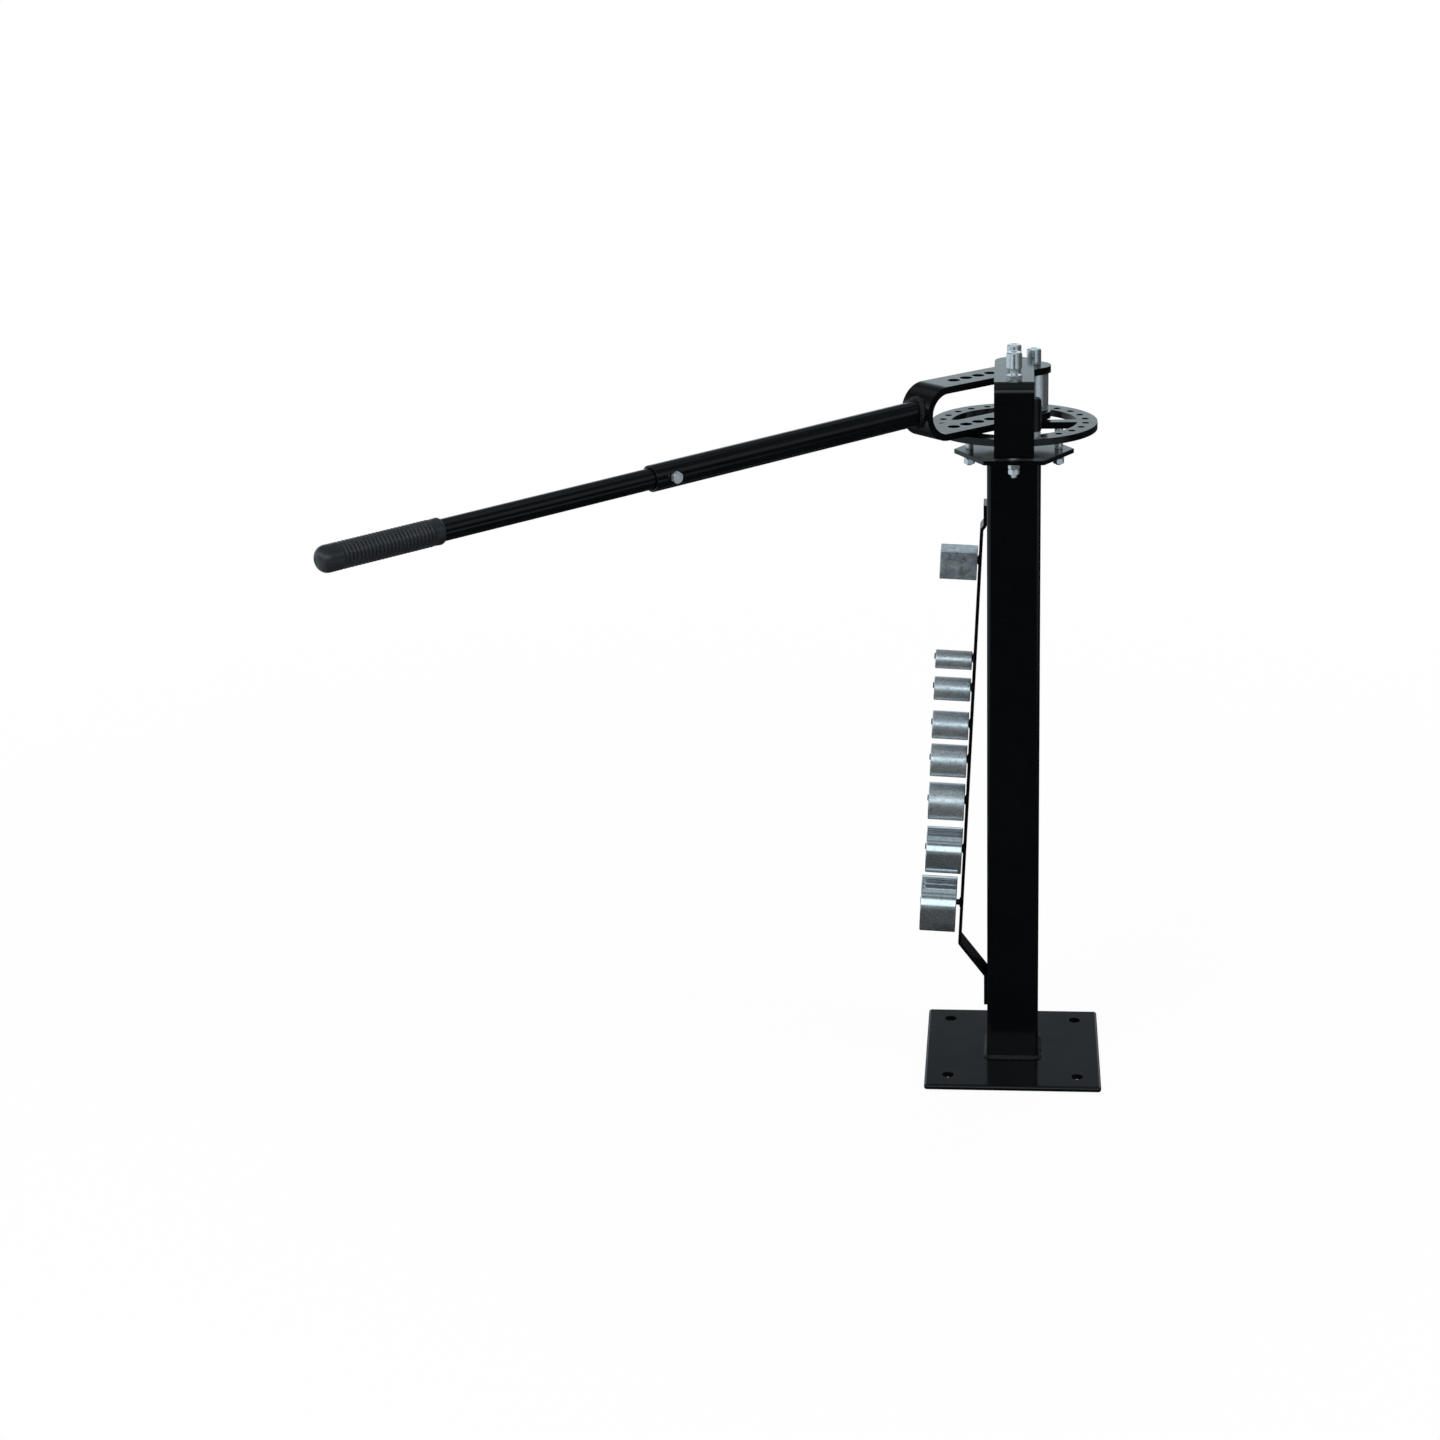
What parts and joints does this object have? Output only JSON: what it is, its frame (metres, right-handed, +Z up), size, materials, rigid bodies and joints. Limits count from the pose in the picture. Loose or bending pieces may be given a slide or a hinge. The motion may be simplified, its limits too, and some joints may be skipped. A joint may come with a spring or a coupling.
{
  "type": "scroll bender",
  "caption": "Floor-standing scroll bender: square post on a base plate, drilled disc, fixed C frame, lever with telescopic handle and roller, and a rack of spare round dies.",
  "frame": {"origin": "centre of the four base bolts, on the underside of the base plate", "axes": "+Z up along the post, -Y towards the web of the fixed frame, -X towards the die rack"},
  "size_m": [0.871, 0.8288, 1.019],
  "materials": {
    "black_powder": "glossy black powder coat",
    "base_powder": "satin dark powder coat",
    "black_sleeve": "satin black oxide",
    "zinc": "bright zinc plate",
    "zinc_die": "bluish zinc plate, slightly speckled",
    "zinc_block": "bluish zinc plate, slightly speckled",
    "bright_steel": "turned and zinc plated",
    "grip_rubber": "dark ribbed rubber"
  },
  "bodies": {
    "stand": {"base_plate": "base_powder", "post": "black_powder", "base_weld": "black_powder", "top_weld": "black_powder", "top_plate": "black_powder", "hole_disc": "black_powder", "disc_studs": "zinc", "disc_spacers": "zinc", "disc_nuts": "zinc", "fixed_frame": "black_powder", "clamp_lock_nut": "zinc", "stop_stud": "zinc", "stop_nut": "zinc", "stop_sleeve": "black_sleeve", "rack_bar": "black_powder", "rack_pins": "black_powder"},
    "lever": {"yoke": "black_powder", "yoke_weld": "black_powder", "handle_tube": "black_powder"},
    "extension": {"handle_extension": "black_powder", "handle_grip": "grip_rubber"},
    "tube_screw": {"handle_screw": "zinc"},
    "frame_screw": {"clamp_screw": "bright_steel"},
    "pivot_pin": {"centre_pin": "bright_steel"},
    "tail_pin": {"roller_pin": "bright_steel"},
    "bending_roller": {"roller": "bright_steel"},
    "die_25mm_body": {"die_25mm": "zinc_die"},
    "die_32mm_body": {"die_32mm": "zinc_die"},
    "die_38mm_body": {"die_38mm": "zinc_die"},
    "die_44mm_body": {"die_44mm": "zinc_die"},
    "die_51mm_body": {"die_51mm": "zinc_die"},
    "die_64mm_body": {"die_64mm": "zinc_die"},
    "die_76mm_body": {"die_76mm": "zinc_die"},
    "square_block_body": {"square_block": "zinc_block"}
  },
  "joints": [
    {"name": "lever_swing", "type": "hinge", "parent": "stand", "child": "lever", "pos_m": [0, 0, 0.939], "axis": [0, 0, 1], "range_deg": [-51, 25]},
    {"name": "extension_slide", "type": "slide", "parent": "lever", "child": "extension", "axis": [-0.7274, -0.6855, -0.0325], "range_m": [-0.275, 0.07]},
    {"name": "tube_screw_turn", "type": "hinge", "parent": "lever", "child": "tube_screw", "pos_m": [-0.39213, -0.39563, 0.92812], "axis": [0.6858, -0.7278, 0], "continuous": true},
    {"name": "frame_screw_turn", "type": "hinge", "parent": "stand", "child": "frame_screw", "pos_m": [0, -0.119, 0.98], "axis": [0, 0, 1], "continuous": true},
    {"name": "pivot_pin_lift", "type": "slide", "parent": "stand", "child": "pivot_pin", "axis": [0, 0, 1], "range_m": [0, 0.125]},
    {"name": "tail_pin_lift", "type": "slide", "parent": "lever", "child": "tail_pin", "axis": [0, 0, 1], "range_m": [0, 0.085]},
    {"name": "roller_spin", "type": "hinge", "parent": "lever", "child": "bending_roller", "pos_m": [0.02562, 0.02414, 0.939], "axis": [0, 0, 1], "continuous": true},
    {"name": "die_25mm_slide", "type": "slide", "parent": "stand", "child": "die_25mm_body", "axis": [-0.9986, 0, 0.0525], "range_m": [0, 0.054]},
    {"name": "die_32mm_slide", "type": "slide", "parent": "stand", "child": "die_32mm_body", "axis": [-0.9986, 0, 0.0525], "range_m": [0, 0.054]},
    {"name": "die_38mm_slide", "type": "slide", "parent": "stand", "child": "die_38mm_body", "axis": [-0.9986, 0, 0.0525], "range_m": [0, 0.054]},
    {"name": "die_44mm_slide", "type": "slide", "parent": "stand", "child": "die_44mm_body", "axis": [-0.9986, 0, 0.0525], "range_m": [0, 0.054]},
    {"name": "die_51mm_slide", "type": "slide", "parent": "stand", "child": "die_51mm_body", "axis": [-0.9986, 0, 0.0525], "range_m": [0, 0.054]},
    {"name": "die_64mm_slide", "type": "slide", "parent": "stand", "child": "die_64mm_body", "axis": [-0.9986, 0, 0.0525], "range_m": [0, 0.054]},
    {"name": "die_76mm_slide", "type": "slide", "parent": "stand", "child": "die_76mm_body", "axis": [-0.9986, 0, 0.0525], "range_m": [-0.0038, 0.05]},
    {"name": "square_block_slide", "type": "slide", "parent": "stand", "child": "square_block_body", "axis": [-0.9986, 0, 0.0525], "range_m": [0, 0.054]}
  ]
}
